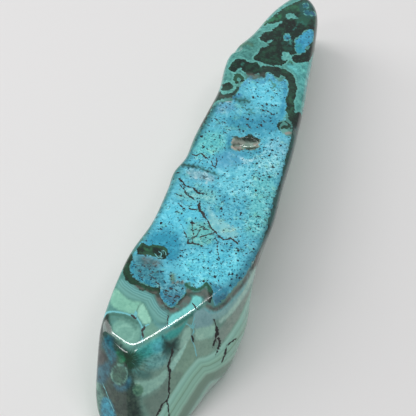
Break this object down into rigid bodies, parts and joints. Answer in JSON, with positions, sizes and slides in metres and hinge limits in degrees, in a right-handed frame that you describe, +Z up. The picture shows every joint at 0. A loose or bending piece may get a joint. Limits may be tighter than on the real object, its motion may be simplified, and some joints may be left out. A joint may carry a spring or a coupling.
{
  "type": "polished chrysocolla and malachite specimen",
  "caption": "Slender polished free-form stone of blue chrysocolla and green banded malachite, tapering to a rounded tip, lying on a flat underside as a display piece.",
  "frame": {"origin": "bottom centre of the bounding box, on the plane the stone rests on", "axes": "+Y along the length from the blunt end to the tip, +Z up out of the blue top face, +X to the right seen from the blunt end"},
  "size_m": [0.0294, 0.1354, 0.0218],
  "materials": {
    "polished_stone": "polished"
  },
  "bodies": {
    "root": {"stone": "polished_stone"}
  },
  "joints": []
}
